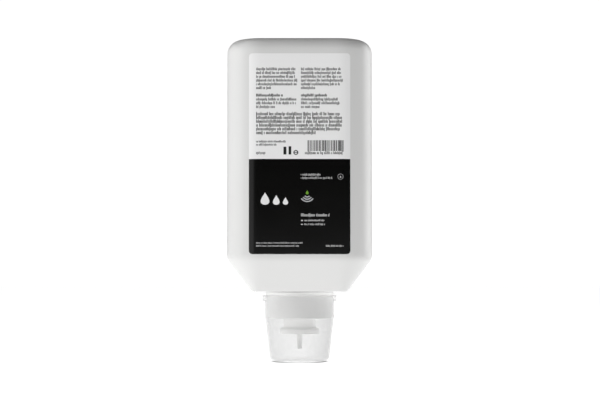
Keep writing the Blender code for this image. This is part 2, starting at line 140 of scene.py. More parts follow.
# %% Colours and nodes
def tone(code):
    """The linear colour of an sRGB hex code: c/12.92 for dark channels, else ((c+0.055)/1.055)^2.4."""
    c = np.array([int(code[k : k + 2], 16) for k in (1, 3, 5)]) / 255
    linear = np.where(c <= 0.04045, c / 12.92, ((c + 0.055) / 1.055) ** 2.4)
    return (*linear.tolist(), 1.0)


def add(tree, kind, settings=None, links=None):
    """Adds a node, sets its sockets or properties by name, and links its inputs to other nodes' outputs."""
    made = tree.nodes.new("ShaderNode" + kind)
    for name, value in (settings or {}).items():
        if isinstance(name, int) or name in made.inputs:
            made.inputs[name].default_value = value
        else:
            setattr(made, name, value)
    for name, output in (links or {}).items():
        tree.links.new(output, made.inputs[name])
    return made


def start_material(name, settings):
    """A new material: its node tree, its Principled shader with the settings, and the Object coordinates."""
    made = bpy.data.materials.new(name)
    made.use_nodes = True
    tree = made.node_tree
    shader = tree.nodes["Principled BSDF"]
    for socket, value in settings.items():
        shader.inputs[socket].default_value = value
    place = add(tree, "TexCoord").outputs["Object"]
    return made, tree, shader, place


def moulded(name, light, dark, mottle_mm, ripple_mm, ripple_depth, rough, rough_swing, settings=None):
    """A moulded surface: mottled between two near colours and rippled, with roughness that drifts."""
    made, tree, shader, place = start_material(name, settings or {})
    mottle = add(tree, "TexNoise", {"Scale": 1000 / mottle_mm, "Detail": 3.0}, {"Vector": place})
    colours = add(tree, "Mix", {"data_type": "RGBA", 6: tone(light), 7: tone(dark)})
    tree.links.new(mottle.outputs["Fac"], colours.inputs[0])
    tree.links.new(colours.outputs[2], shader.inputs["Base Color"])
    drift = add(tree, "MapRange", {"To Min": rough - rough_swing, "To Max": rough + rough_swing})
    tree.links.new(mottle.outputs["Fac"], drift.inputs["Value"])
    tree.links.new(drift.outputs["Result"], shader.inputs["Roughness"])
    ripple = add(tree, "TexNoise", {"Scale": 1000 / ripple_mm, "Detail": 2.0}, {"Vector": place})
    bump = add(tree, "Bump", {"Strength": 1.0, "Distance": ripple_depth * MM})
    tree.links.new(ripple.outputs["Fac"], bump.inputs["Height"])
    tree.links.new(bump.outputs["Normal"], shader.inputs["Normal"])
    return made


def dress(piece, material, body, slot, *nodes):
    """Gives a piece its material, its body and the CAD nodes that it stands for, which it hides; its slot is
    not used.
    """
    piece.data.materials.clear()
    piece.data.materials.append(material)
    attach(piece, body)
    if nodes:
        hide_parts(*nodes)
    print(piece.name, len(piece.data.polygons), "faces on", body)


# %% [markdown]
# ## The bottle
# The bottle is blown from a tube of white high-density polyethylene in a two-part mould, and stands neck
# down. Its level outlines are rounded rectangles. From the wall to the small flat base around the neck, width
# shrinks along two arcs and a straight slope, and depth and corner follow the width. So one formula with
# three numbers per row (half width, half depth, corner) draws all of it, and nothing has to be joined.

# %% Measures of the bottle
bottle_low, bottle_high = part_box("bottle")
HALF_W, HALF_D, TOP_Z = bottle_high.x, bottle_high.y, bottle_high.z
CORNER = 25.5 * MM
TOP_EDGE = 9.0 * MM
PUSH_UP = 1.2 * MM
PUSH_UP_MARGIN = 3.0 * MM
SHOULDER_Z, SHOULDER_BEND = 73.7 * MM, 8.0 * MM
BASE_HALF_W, BASE_HALF_D, BASE_Z = 33.45 * MM, 26.5 * MM, 50.4 * MM
BASE_CORNER, BASE_EDGE = 5.0 * MM, 2.6 * MM
NECK_R, NECK_END_Z = 19.75 * MM, bottle_low.z
BEAD_R, BEAD_LOW_Z, BEAD_HIGH_Z, BEAD_SLOPE = 21.15 * MM, 40.4 * MM, 44.6 * MM, 1.2 * MM
WALL = 1.0 * MM
print("bottle half width, half depth and top in mm:", HALF_W / MM, HALF_D / MM, TOP_Z / MM)

# %% The outline around a row
# A corner drawn with this power of sine and cosine starts with no jump in curvature, as a blown corner does
CORNER_POWER = 0.94
SIDE_POINTS, TURN_POINTS, FRONT_POINTS = 13, 25, 14
# A quarter of the way around: out along the side (closer at the parting line), round the corner, in along
# the front
side_share = np.concatenate([[0.0, 0.02, 0.04, 0.07], np.linspace(0.14, 1, SIDE_POINTS - 4)])
side_share = np.append(side_share, np.ones(TURN_POINTS + FRONT_POINTS))
corner_angle = np.append(np.zeros(SIDE_POINTS), np.linspace(0, np.pi / 2, TURN_POINTS + 2)[1:-1])
corner_angle = np.append(corner_angle, np.full(FRONT_POINTS, np.pi / 2))
front_share = np.append(np.ones(SIDE_POINTS + TURN_POINTS), np.linspace(1, 0, FRONT_POINTS))
quarter = np.stack([side_share, corner_angle, front_share])
around = np.concatenate([quarter[:, :-1], quarter[:, :0:-1], quarter[:, :-1], quarter[:, :0:-1]], axis=1)
quarter_steps = quarter.shape[1] - 1
sign_x = np.repeat([1, -1, -1, 1], quarter_steps)
sign_y = np.repeat([1, 1, -1, -1], quarter_steps)


def outline(half_w, half_d, corner, shares=around, sides=(sign_x, sign_y)):
    """Points of a rounded rectangle.

    x = share of the flat front + corner cos^p, and y = share of the flat side + corner sin^p.
    """
    side, angle, front = shares
    x = front * (half_w - corner) + corner * np.maximum(np.cos(angle), 0) ** CORNER_POWER
    y = side * (half_d - corner) + corner * np.maximum(np.sin(angle), 0) ** CORNER_POWER
    return sides[0] * x, sides[1] * y


# %% The rows from the top of the bottle down to its neck
def sweep(start, end, pieces):
    """Angles in radians from start to end degrees."""
    return np.radians(np.linspace(start, end, pieces + 1))


slope = np.arctan2(HALF_W - BASE_HALF_W, SHOULDER_Z - BASE_Z)
lean = np.degrees(slope)
bend_x, bend_z = HALF_W - SHOULDER_BEND, SHOULDER_Z + SHOULDER_BEND * np.tan(slope / 2)
edge_x = BASE_HALF_W - BASE_EDGE * np.tan((np.pi / 2 - slope) / 2)
edge_z = BASE_Z + BASE_EDGE

TOP_ROWS, WALL_ROWS, BEND_ROWS, SLOPE_ROWS, EDGE_ROWS = 18, 24, 14, 14, 10
top_turn = sweep(90, 0, TOP_ROWS)
top_x = HALF_W - TOP_EDGE + TOP_EDGE * np.cos(top_turn)
top_z = TOP_Z - TOP_EDGE + TOP_EDGE * np.sin(top_turn)
wall_z = np.linspace(TOP_Z - TOP_EDGE, bend_z, WALL_ROWS)[1:-1]
bend_turn = sweep(0, -lean, BEND_ROWS)
slope_share = np.linspace(0, 1, SLOPE_ROWS)[1:-1]
edge_turn = sweep(-lean, -90, EDGE_ROWS)
bend = np.stack([bend_x + SHOULDER_BEND * np.cos(bend_turn), bend_z + SHOULDER_BEND * np.sin(bend_turn)])
edge = np.stack([edge_x + BASE_EDGE * np.cos(edge_turn), edge_z + BASE_EDGE * np.sin(edge_turn)])
straight = bend[:, -1:] + slope_share * (edge[:, :1] - bend[:, -1:])
shoulder_x, shoulder_z = np.concatenate([bend, straight, edge], axis=1)

narrowed = (HALF_W - shoulder_x) / (HALF_W - BASE_HALF_W)
cut = HALF_W - top_x
on_wall = np.ones(len(wall_z))
row_w = np.concatenate([top_x, HALF_W * on_wall, shoulder_x])
row_d = np.concatenate([HALF_D - cut, HALF_D * on_wall, HALF_D - narrowed * (HALF_D - BASE_HALF_D)])
row_c = np.concatenate([CORNER - cut, CORNER * on_wall, CORNER - narrowed * (CORNER - BASE_CORNER)])
row_z = np.concatenate([top_z, wall_z, shoulder_z])

# The push-up is a shallow dish: flat rows that grow from the middle, then rows that rise to the rim
FLAT_ROWS, RISING_ROWS = 12, 10
rim_w = top_x[0] - PUSH_UP_MARGIN * np.array([2.0, 1.0])
push_share = np.concatenate([np.linspace(0.01, 1, FLAT_ROWS), np.ones(RISING_ROWS)])
rising = np.linspace(0, 1, RISING_ROWS + 1)[1:]
push_cut = np.full(FLAT_ROWS, HALF_W - rim_w[0])
push_cut = np.concatenate([push_cut, HALF_W - rim_w[0] - rising * (rim_w[1] - rim_w[0])])
push_rise = np.concatenate([np.zeros(FLAT_ROWS), 0.5 - 0.5 * np.cos(np.pi * rising)])
push_w, push_d, push_c = [(size - push_cut) * push_share for size in (HALF_W, HALF_D, CORNER)]
push_z = TOP_Z - PUSH_UP * (1 - push_rise)
print("rows of the bottle's skin:", len(push_w), "+", len(row_w))

# %% The flat base around the neck, and the neck with its bead
NECK_EDGE, BASE_ROWS = 0.5 * MM, 8
body_w, body_d = np.concatenate([push_w, row_w]), np.concatenate([push_d, row_d])
body_c, body_z = np.concatenate([push_c, row_c]), np.concatenate([push_z, row_z])
body_x, body_y = outline(body_w[:, None], body_d[:, None], body_c[:, None])
base_angle = np.arctan2(body_y[-1], body_x[-1])
neck = eased(
    [
        (NECK_R, BASE_Z),
        (NECK_R, BEAD_HIGH_Z),
        (BEAD_R, BEAD_HIGH_Z - BEAD_SLOPE),
        (BEAD_R, BEAD_LOW_Z + BEAD_SLOPE),
        (NECK_R, BEAD_LOW_Z),
        (NECK_R, NECK_END_Z),
    ],
    NECK_EDGE,
    closed=False,
)
neck_x, neck_y = neck[:, :1] * np.cos(base_angle), neck[:, :1] * np.sin(base_angle)
towards_neck = np.linspace(0, 1, BASE_ROWS)[1:-1, None]
base_x = body_x[-1] * (1 - towards_neck) + neck_x[0] * towards_neck
base_y = body_y[-1] * (1 - towards_neck) + neck_y[0] * towards_neck
skin_x = np.concatenate([body_x, base_x, neck_x])
skin_y = np.concatenate([body_y, base_y, neck_y])
skin_z = np.concatenate([body_z, np.full(len(base_x), BASE_Z), neck[:, 1]])[:, None]
skin_z = skin_z + np.zeros(skin_x.shape[1])

# %% [markdown]
# A blown bottle shows where its mould was split: a fine raised line down the middle of each narrow side,
# and across the end a thicker one where the tube was pinched shut. Both are a bell curve over the distance
# from the mould's plane, added to the skin.

# %% Parting line and pinch-off
PARTING_HIGH, PARTING_WIDE = 0.10 * MM, 0.35 * MM
PINCH_HIGH, PINCH_WIDE = 0.45 * MM, 0.6 * MM
PINCH_ENDS = 8
row_number = np.arange(len(skin_x))
on_body = (row_number >= len(push_w)) & (row_number < len(body_w))
parting = np.exp(-((skin_y / PARTING_WIDE) ** 2)) * PARTING_HIGH * on_body[:, None]
skin_x = skin_x + np.sign(skin_x) * parting
in_push_up = (row_number < len(push_w) - PINCH_ENDS)[:, None]
skin_z = skin_z + np.exp(-((skin_y / PINCH_WIDE) ** 2)) * PINCH_HIGH * in_push_up
bottle = surface("bottle_skin", np.stack([skin_x, skin_y, skin_z], axis=-1), fill_last=False)
thick = bottle.modifiers.new("wall", "SOLIDIFY")
thick.thickness = WALL
thick.offset = -1.0
print("bottle skin:", skin_x.shape, "rows and columns; z", skin_z.min(), skin_z.max())

# %% [markdown]
# White high-density polyethylene is slightly translucent and waxy: its gloss is satin, and the blown skin
# has a very faint ripple where it met the mould. The eye gets a soft white with broad, blurred highlights.

# %% Blow-moulded HDPE
hdpe = moulded("blow_moulded_hdpe", "#DFDFDE", "#DBDBDA", 60, 9, 0.02, 0.36, 0.02, {"IOR": 1.54})
dress(bottle, hdpe, "bottle_unit", "bottle_white", "bottle")

# %% [markdown]
# ## The label
# The label is a printed polypropylene film, stuck on so smoothly that it follows the bottle's front and just
# begins to turn with its corners. So its points are laid out flat, as a distance along the film and a height,
# and then carried onto the bottle: a table gives the front's point and outward direction at each distance.

# %% From a distance along the film to a place on the bottle
FINE_FRONT, FINE_TURN = 40, 199
fine_angle = np.linspace(np.pi / 2, 0, FINE_TURN + 1)[1:]
fine_angle = np.append(np.full(FINE_FRONT, np.pi / 2), fine_angle)
fine_front = np.append(np.linspace(0, 1, FINE_FRONT), np.ones(FINE_TURN))
fine_shares = (np.ones(FINE_FRONT + FINE_TURN), fine_angle, fine_front)
front_x, front_y = outline(HALF_W, HALF_D, CORNER, fine_shares, (1, -1))
step_x, step_y = np.gradient(front_x), np.gradient(front_y)
step = np.hypot(step_x, step_y)
out_x, out_y = step_y / step, -step_x / step
travel = np.concatenate([[0], np.cumsum(np.hypot(np.diff(front_x), np.diff(front_y)))])


def on_front(along, height, lift):
    """Points lift outside the bottle's front, at a signed distance along it from its middle, at a height."""
    far = np.abs(along)
    x = np.sign(along) * np.interp(far, travel, front_x + lift * out_x)
    y = np.interp(far, travel, front_y + lift * out_y)
    return np.stack([x, y, height + np.zeros(x.shape)], axis=-1)


# %% The film
label_low, label_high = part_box("front_label")
LABEL_HALF = 35.4 * MM
LABEL_CORNER = 2.5 * MM
LABEL_LIFT, LABEL_THICK = 0.04 * MM, 0.05 * MM
FILM_TURN, FILM_HALF_POINTS, FILM_ROWS, NARROW_ROW = 13, 40, 57, 0.0005
corner_turn = np.linspace(0, np.pi / 2, FILM_TURN)
end_part = LABEL_HALF - LABEL_CORNER + LABEL_CORNER * np.sin(corner_turn)
right_part = np.linspace(0, LABEL_HALF - LABEL_CORNER, FILM_HALF_POINTS)[:-1]
right_part = np.append(right_part, end_part)
along = np.concatenate([-right_part[:0:-1], right_part])
past = np.clip(np.abs(along) - (LABEL_HALF - LABEL_CORNER), 0, LABEL_CORNER)
rounded = LABEL_CORNER - np.sqrt(LABEL_CORNER**2 - past**2)
# The first and last rows are very narrow, so the smooth shading of the film's edge stays at the edge
up = np.linspace(0, 1, FILM_ROWS)[1:-1]
up = np.concatenate([[0, NARROW_ROW], up, [1 - NARROW_ROW, 1]])[:, None]
film_z = (label_low.z + rounded) * (1 - up) + (label_high.z - rounded) * up
film_grid = on_front(along + np.zeros(film_z.shape), film_z, LABEL_LIFT)
number = np.arange(film_z.size).reshape(film_z.shape)
cells = np.stack([number[:-1, :-1], number[:-1, 1:], number[1:, 1:], number[1:, :-1]], axis=-1)
film_mesh = bpy.data.meshes.new("label_film")
film_mesh.from_pydata(film_grid.reshape(-1, 3).tolist(), [], cells.reshape(-1, 4).tolist())
film_mesh.shade_smooth()
film = bpy.data.objects.new("label_film", film_mesh)
bpy.context.scene.collection.objects.link(film)
film_wall = film.modifiers.new("thickness", "SOLIDIFY")
film_wall.thickness = LABEL_THICK
film_wall.offset = 1.0
print("film from", round(label_low.z / MM, 1), "to", round(label_high.z / MM, 1), "mm")

# %% [markdown]
# The film is printed off-white above and near-black below and varnished semi-gloss, so the dark part
# mirrors the lights softly. One comparison of the height against the edge of the dark part picks the colour.

# %% Printed polypropylene film
DARK_EDGE_Z = 142.8 * MM
film_look, tree, shader, place = start_material("printed_pp_film", {"IOR": 1.40})
height = add(tree, "SeparateXYZ", links={0: place}).outputs["Z"]
is_paper = add(tree, "Math", {"operation": "GREATER_THAN", 1: DARK_EDGE_Z}, {0: height}).outputs[0]
haze = add(tree, "TexNoise", {"Scale": 1000 / 35, "Detail": 2.0}, {"Vector": place}).outputs["Fac"]
paper = add(tree, "Mix", {"data_type": "RGBA", 6: tone("#F6F6F6"), 7: tone("#F3F3F3")}, {0: haze}).outputs[2]
dark = add(tree, "Mix", {"data_type": "RGBA", 6: tone("#060606"), 7: tone("#090908")}, {0: haze}).outputs[2]
ground = add(tree, "Mix", {"data_type": "RGBA"}, {0: is_paper, 6: dark, 7: paper}).outputs[2]
tree.links.new(ground, shader.inputs["Base Color"])
gloss = add(tree, "MapRange", {"To Min": 0.14, "To Max": 0.18}, {"Value": haze}).outputs["Result"]
tree.links.new(gloss, shader.inputs["Roughness"])
dress(film, film_look, "bottle_unit", "label_film", "front_label")

# %% [markdown]
# ## The print
# The words, marks and names of a real label have no place on a reusable part. In their place are plain
# shapes that give the eye the same weight: rows of fine ticks for small print, stripes for a bar code, and
# drops, rings and ripples for marks. Each shape is a flat polygon on the film, in millimetres from the
# label's middle and from the floor, and Solidify gives the ink its thickness.

# %% Ink from flat shapes
INK_LIFT, INK_THICK, INK_WEAR = 0.01 * MM, 0.012 * MM, 0.9


def printed(name, shapes, code, rough=0.35):
    """Polygons laid on the film: each is a list of (along, height) points in mm, counter-clockwise."""
    corners = np.concatenate(shapes) * MM
    points = on_front(corners[:, 0], corners[:, 1], LABEL_LIFT + LABEL_THICK + INK_LIFT)
    ends = np.cumsum([len(shape) for shape in shapes])
    faces = [list(range(end - len(shape), end)) for end, shape in zip(ends, shapes)]
    mesh = bpy.data.meshes.new(name)
    mesh.from_pydata(points.tolist(), [], faces)
    made = bpy.data.objects.new(name, mesh)
    bpy.context.scene.collection.objects.link(made)
    ink = made.modifiers.new("ink", "SOLIDIFY")
    ink.thickness = INK_THICK
    ink.offset = 1.0
    look, tree, shader, place = start_material(name + "_ink", {"Roughness": rough})
    speck = add(tree, "TexNoise", {"Scale": 1000 / 1.5, "Detail": 2.0}, {"Vector": place}).outputs["Fac"]
    worn = tuple(INK_WEAR * c for c in tone(code)[:3]) + (1.0,)
    mixed = add(tree, "Mix", {"data_type": "RGBA", 6: tone(code), 7: worn}, {0: speck}).outputs[2]
    tree.links.new(mixed, shader.inputs["Base Color"])
    dress(made, look, "bottle_unit", "label_film")


# %% Rows of ticks for small print
draw = np.random.default_rng(7)


def ticks(left, right, middle, size, weight=1.0):
    """One row of small print as upright ticks of uneven width, gap and height, with wider gaps between words.

    Widths and gaps are shares of the row's letter size; starts are the running sum of what came before.
    """
    count = int((right - left) / (0.30 * size))
    wide = draw.uniform(0.19, 0.32, count) * size * weight
    gap = draw.uniform(0.11, 0.21, count) * size
    gap = gap + 0.45 * size * (draw.random(count) < 0.11)
    start = left + np.cumsum(wide + gap) - wide - gap
    keep = start + wide <= right
    start, wide = start[keep], wide[keep]
    low = middle - size / 2 - 0.3 * size * (draw.random(len(start)) < 0.10)
    high = middle + size / 2 + 0.4 * size * (draw.random(len(start)) < 0.30)
    x = np.stack([start, start + wide, start + wide, start], axis=1)
    z = np.stack([low, low, high, high], axis=1)
    return list(np.stack([x, z], axis=-1))


def block(left, right, top, rows, last, size=1.4, pitch=2.63, weight=1.0):
    """Several rows of ticks with a ragged right edge, whose last row ends early."""
    ragged = right - draw.uniform(0, 2.5, rows)
    ragged[-1] = last
    made = []
    for k, end in enumerate(ragged):
        made += ticks(left, end, top - k * pitch, size, weight)
    return made


# Each block has its left and right ends and its first row's height in mm, its rows, and its last row's end
LEFT, MIDDLE, RIGHT = -30.2, 1.0, 30.5
small_print = block(LEFT, -1.0, 205.3, 6, -19.6) + block(MIDDLE, RIGHT, 205.3, 6, 10.9)
small_print += block(LEFT, -11.2, 187.0, 1, -11.2, weight=1.45)
small_print += block(MIDDLE, 19.4, 187.0, 1, 19.4, weight=1.45)
small_print += block(LEFT, -1.0, 184.2, 3, -17.1) + block(MIDDLE, 29.5, 184.2, 3, 14.1)
small_print += block(LEFT, 29.8, 174.0, 6, 11.6, 1.65, weight=1.15)
small_print += block(LEFT, -9.2, 154.8, 2, -15.6, 1.1, 2.2) + block(LEFT, -23.8, 146.9, 1, -23.8)
small_print += block(3.7, RIGHT, 146.8, 1, RIGHT, 1.4, weight=1.1)
printed("small_print", small_print, "#161616")


# %% Bars, rings and drops
def bar(left, right, low, high):
    """One upright rectangle."""
    return [np.array([(left, low), (right, low), (right, high), (left, high)])]


def ring(x, z, radius, line, start=0, end=360, pieces=24):
    """A ring, or a part of one, as four-cornered cells between its outer and its inner circle."""
    turn = np.radians(np.linspace(start, end, pieces + 1))
    arm = np.stack([np.cos(turn), np.sin(turn)], axis=-1)
    outer, inner = [x, z] + radius * arm, [x, z] + (radius - line) * arm
    return list(np.stack([inner[:-1], outer[:-1], outer[1:], inner[1:]], axis=1))


def drop(x, z, radius, pieces=48):
    """A hanging drop, round below and pointed above: x = s sin t |sin(t/2)|^1.6 and z = s cos t."""
    t = np.linspace(0, 2 * np.pi, pieces, endpoint=False)
    stretched = 1.25 * radius
    across = stretched * np.sin(t) * np.abs(np.sin(t / 2)) ** 1.6
    return [np.stack([x + across, z + stretched * np.cos(t)], axis=-1)[::-1]]


# %% Stripes of a bar code, with longer ones at its ends and middle
STRIPES, CODE_LEFT, CODE_LOW, CODE_HIGH, GUARD_DROP = 30, 5.6, 148.3, 155.8, 0.4
stripe = draw.choice([0.32, 0.32, 0.64, 0.9], STRIPES)
space = draw.choice([0.26, 0.26, 0.52, 0.78], STRIPES)
stripe_start = np.cumsum(stripe + space) - stripe - space
stretch = (RIGHT - CODE_LEFT) / (stripe_start[-1] + stripe[-1])
bar_code = []
for k, (start, wide) in enumerate(zip(stripe_start * stretch, stripe * stretch)):
    is_guard = k in (0, 1, STRIPES // 2 - 1, STRIPES // 2, STRIPES - 2, STRIPES - 1)
    left = CODE_LEFT + start
    bar_code += bar(left, left + wide, CODE_LOW - GUARD_DROP * is_guard, CODE_HIGH)
printed("bar_code", bar_code, "#0C0C0C")

# %% The marks in dark ink: two strokes and a ring where the content is given
content = bar(-11.2, -9.2, 145.9, 151.3) + bar(-7.6, -5.8, 145.9, 151.6) + ring(-2.6, 147.3, 1.7, 0.65)
content += bar(-3.9, -1.4, 147.1, 147.6)
printed("content_mark", content, "#0C0C0C")

# %% The light ink on the dark part
light_print = ticks(0.9, 14.5, 131.8, 1.1, 0.8) + ticks(0.9, 22.8, 129.5, 1.1, 0.8)
light_print += ticks(MIDDLE, 21.1, 103.6, 1.5, 0.95)
light_print += bar(MIDDLE, 2.3, 99.6, 100.4) + ticks(3.3, 17.6, 100.0, 0.95, 0.8)
light_print += bar(MIDDLE, 2.3, 96.9, 97.7) + ticks(3.3, 17.9, 97.3, 0.95, 0.8)
light_print += ticks(LEFT, 2.3, 84.4, 0.75, 0.8) + ticks(LEFT, -0.2, 82.3, 0.75, 0.8)
light_print += ticks(18.3, RIGHT, 82.3, 0.95, 0.95)
light_print += ring(28.4, 130.5, 2.0, 0.2) + drop(28.4, 130.4, 0.6, 24)
printed("light_print", light_print, "#CFCFCF")
drops = drop(-24.0, 115.3, 3.5) + drop(-16.2, 114.3, 2.7) + drop(-9.8, 113.6, 2.1)
printed("drop_marks", drops, "#F6F6F6")

# %% A green drop over grey ripples
ripples = [cell for k in range(3) for cell in ring(5.3, 118.2, 2.3 + 1.55 * k, 0.85, 215, 325, 16)]
printed("ripple_marks", ripples, "#B4B6B8")
printed("green_drop", drop(5.3, 119.6, 1.15), "#6FA52C")

# %% [markdown]
# ## The pump
# The pump hangs under the bottle's neck. Its outer pieces are injection-moulded polypropylene and round, so
# each is a profile turned about the axis. The collar is smooth and was pressed over the neck's bead; the
# plunger is one moulding with a nozzle, a flange that the dispenser pushes, and a sleeve that slides in it.

# %% Collar
collar_low, collar_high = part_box("snap_collar")
COLLAR_R, COLLAR_INNER_R, COLLAR_HOLE_R, COLLAR_LIP_R = 23.43, 21.45, 11.85, 20.35
COLLAR_RIM_R, COLLAR_RIM_Z, COLLAR_FLOOR, LIP_Z = collar_high.x / MM, 47.65, 1.8, 44.9
COLLAR_EDGE, PLUNGER_EDGE = 0.45, 0.35
low, high = collar_low.z / MM, collar_high.z / MM
collar_profile = [
    (COLLAR_RIM_R, high),
    (COLLAR_RIM_R, COLLAR_RIM_Z),
    (COLLAR_R, COLLAR_RIM_Z),
    (COLLAR_R, low),
    (COLLAR_HOLE_R, low),
    (COLLAR_HOLE_R, low + COLLAR_FLOOR),
    (COLLAR_INNER_R, low + COLLAR_FLOOR),
    (COLLAR_INNER_R, LIP_Z),
    (COLLAR_LIP_R, LIP_Z + 0.6),
    (COLLAR_LIP_R, LIP_Z + 1.2),
    (COLLAR_INNER_R, LIP_Z + 2.4),
    (COLLAR_INNER_R, high),
]
collar = turned("press_on_collar", eased(collar_profile, COLLAR_EDGE) * MM, 160)

# %% Plunger
plunger_low, plunger_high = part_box("pump_plunger")
push_r, stem_top, tip_z = plunger_high.x / MM, plunger_high.z / MM, plunger_low.z / MM
SLEEVE_R, SLEEVE_BORE_R, SLEEVE_TOP, STOP_R, STOP_LOW = 11.55, 10.2, 34.6, 12.9, 33.3
PUSH_LOW, PUSH_EDGE, PUSH_TOP, CUP_FLOOR, STEM_R = 20.1, 23.45, 24.7, 21.9, 3.6
NOZZLE_ROOT_R, NOZZLE_TIP_R, NOZZLE_FLARE = 2.13, 1.66, 0.8
CHANNEL_TIP_R, CHANNEL_R, CHANNEL_TOP = 1.05, 1.3, 36.0
WELL_R, LEDGE_R, LEDGE_Z = 1.9, 2.4, 44.3
plunger_profile = [
    (STEM_R, stem_top),
    (STEM_R, CUP_FLOOR),
    (SLEEVE_BORE_R, CUP_FLOOR),
    (SLEEVE_BORE_R, SLEEVE_TOP),
    (STOP_R, SLEEVE_TOP),
    (STOP_R, STOP_LOW),
    (SLEEVE_R, STOP_LOW),
    (SLEEVE_R, PUSH_TOP),
    (push_r, PUSH_EDGE),
    (push_r, PUSH_LOW),
    (NOZZLE_ROOT_R + NOZZLE_FLARE, PUSH_LOW),
    (NOZZLE_ROOT_R, PUSH_LOW - NOZZLE_FLARE),
    (NOZZLE_TIP_R, tip_z),
    (CHANNEL_TIP_R, tip_z),
    (CHANNEL_R, CHANNEL_TOP),
    (WELL_R, CHANNEL_TOP),
    (WELL_R, LEDGE_Z),
    (LEDGE_R, LEDGE_Z),
    (LEDGE_R, stem_top),
]
plunger = turned("plunger_and_nozzle", eased(plunger_profile, PLUNGER_EDGE) * MM, 96)

# %% [markdown]
# White polypropylene leaves a polished steel mould, so it is smoother than the bottle: an even white with
# slightly tighter highlights, and only a trace of the flow marks that the melt leaves.

# %% Moulded polypropylene
white_pp = moulded("moulded_white_pp", "#F3F3F2", "#F0F0EF", 25, 4, 0.008, 0.30, 0.02, {"IOR": 1.49})
dress(collar, white_pp, "bottle_unit", "pump_white", "snap_collar")
dress(plunger, white_pp, "plunger", "pump_white", "pump_plunger")

# %% [markdown]
# ## The return spring
# The spring is steel wire wound around the stem. Its skin is a circle carried along a helix: at each turn
# angle the circle lies in the plane of the outward direction and of the direction square to it and to the
# wire. In the real pump, pushing the plunger shortens the spring towards the seat at its upper end; here it
# is made at rest and rides on the bottle's body.

# %% Wire along a helix
WIRE_R, COIL_R, TURNS, CLOSED_PITCH = 0.5, 8.4, 8, 1.2
SPRING_SEAT, STROKE = 41.7, 6.0
spring_low, spring_high = CUP_FLOOR + 0.3 + WIRE_R, SPRING_SEAT - WIRE_R
open_pitch = (spring_high - spring_low - 2 * CLOSED_PITCH) / (TURNS - 2)
STEPS_PER_TURN, WIRE_SIDES = 40, 12
turn = np.linspace(0, TURNS, TURNS * STEPS_PER_TURN + 1)
closed_turns = np.minimum(turn, 1) + np.maximum(turn - TURNS + 1, 0)
climb = spring_low + closed_turns * CLOSED_PITCH + (turn - closed_turns) * open_pitch
zeros = np.zeros(len(turn))
outward = np.stack([np.cos(2 * np.pi * turn), np.sin(2 * np.pi * turn), zeros], axis=-1)
line = COIL_R * outward + np.stack([zeros, zeros, climb], axis=-1)
ahead = np.gradient(line, axis=0)
ahead /= np.linalg.norm(ahead, axis=1)[:, None]
square = np.cross(ahead, outward)
wire_angle = np.linspace(0, 2 * np.pi, WIRE_SIDES, endpoint=False)[None, :, None]
wire_skin = np.cos(wire_angle) * outward[:, None] + np.sin(wire_angle) * square[:, None]
wire = line[:, None] + WIRE_R * wire_skin
spring = surface("coil_spring", wire * MM)
steel, tree, shader, place = start_material("drawn_spring_steel", {"Metallic": 1.0})
grain = add(tree, "TexNoise", {"Scale": 1000 / 0.4, "Detail": 2.0}, {"Vector": place}).outputs["Fac"]
sheen = add(tree, "MapRange", {"To Min": 0.22, "To Max": 0.34}, {"Value": grain}).outputs["Result"]
tree.links.new(sheen, shader.inputs["Roughness"])
steel_tones = {"data_type": "RGBA", 6: tone("#C4C5C7"), 7: tone("#B5B7BA")}
bright = add(tree, "Mix", steel_tones, {0: grain}).outputs[2]
tree.links.new(bright, shader.inputs["Base Color"])
dress(spring, steel, "bottle_unit", "spring_steel", "return_spring")
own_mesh(spring)

# %% [markdown]
# ## The protective cap
# The cap is a thin tapered cup of clear polypropylene with a rim to pull it by. Clear polypropylene is a
# little milky: it veils what is behind it, most where the eye looks along its wall. So the shader is a thin
# veil: its alpha is low where the wall faces the eye and rises towards its outline. In the flat base, which
# is always seen from the side and through which the table shines, it rises less.

# %% Cap
cap_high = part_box("protective_cap")[1]
cap_rim_r, cap_top = cap_high.x / MM, cap_high.z / MM
RIM_LOW, UPPER_R, STEP_Z, TAPER_TOP_R, TAPER_LOW_R, CAP_WALL = 43.6, 24.9, 31.5, 24.5, 21.1, 1.0
MIDDLE_HOLE_R = 0.05
taper_step = UPPER_R - TAPER_TOP_R
cap_inside = [
    (MIDDLE_HOLE_R, CAP_WALL),
    (TAPER_LOW_R - CAP_WALL + 0.1, CAP_WALL),
    (TAPER_TOP_R - CAP_WALL, STEP_Z - taper_step),
    (UPPER_R - CAP_WALL, STEP_Z),
    (UPPER_R - CAP_WALL, cap_top),
]
cap_outside = [
    (cap_rim_r, cap_top),
    (cap_rim_r, RIM_LOW),
    (UPPER_R, RIM_LOW),
    (UPPER_R, STEP_Z),
    (TAPER_TOP_R, STEP_Z - taper_step),
    (TAPER_LOW_R, 0.0),
    (MIDDLE_HOLE_R, 0.0),
]
cap_reach = [0, 3.0, 0.5, 0.5, 0.3, 0.4, 0.3, 0.3, 0.5, 0.5, 3.9, 0]
cap_profile = eased(cap_inside + cap_outside, cap_reach, pieces=8, closed=False)
cap = turned("clear_cap", cap_profile * MM, 160, closed=False)
VEIL_FACING, VEIL_EDGE, VEIL_FOOT = 0.14, 0.65, 0.30
FOOT_LOW, FOOT_HIGH = 1.2 * MM, 2.5 * MM
clear_pp, tree, shader, place = start_material("clear_moulded_pp", {"IOR": 1.49})
cloud = add(tree, "TexNoise", {"Scale": 1000 / 12, "Detail": 2.0}, {"Vector": place}).outputs["Fac"]
milk = add(tree, "Mix", {"data_type": "RGBA", 6: tone("#DCDCDC"), 7: tone("#D7D7D7")}, {0: cloud}).outputs[2]
tree.links.new(milk, shader.inputs["Base Color"])
polish = add(tree, "MapRange", {"To Min": 0.10, "To Max": 0.16}, {"Value": cloud}).outputs["Result"]
tree.links.new(polish, shader.inputs["Roughness"])
